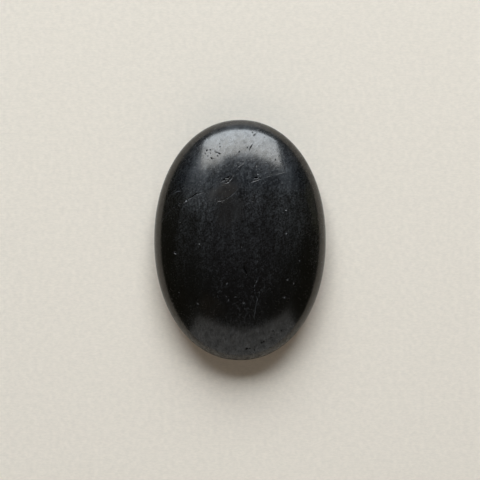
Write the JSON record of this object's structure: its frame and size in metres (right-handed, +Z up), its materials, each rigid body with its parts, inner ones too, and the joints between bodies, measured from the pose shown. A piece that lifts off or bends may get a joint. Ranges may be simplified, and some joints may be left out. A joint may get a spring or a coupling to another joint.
{
  "type": "shungite palm stone",
  "caption": "Oval palm stone of polished black shungite: a domed pebble with fine pits and healed fissures, eased to a small flat below that it rests on.",
  "frame": {"origin": "middle of the small flat under the stone, on the surface that it rests on", "axes": "+Z up through the dome's top, +Y along the stone's length, +X across its width"},
  "size_m": [0.05, 0.07, 0.0148],
  "materials": {
    "shungite": "hand polish, glossy with a slight haze, matt in the pits and fissures"
  },
  "bodies": {
    "root": {"stone": "shungite"}
  },
  "joints": []
}
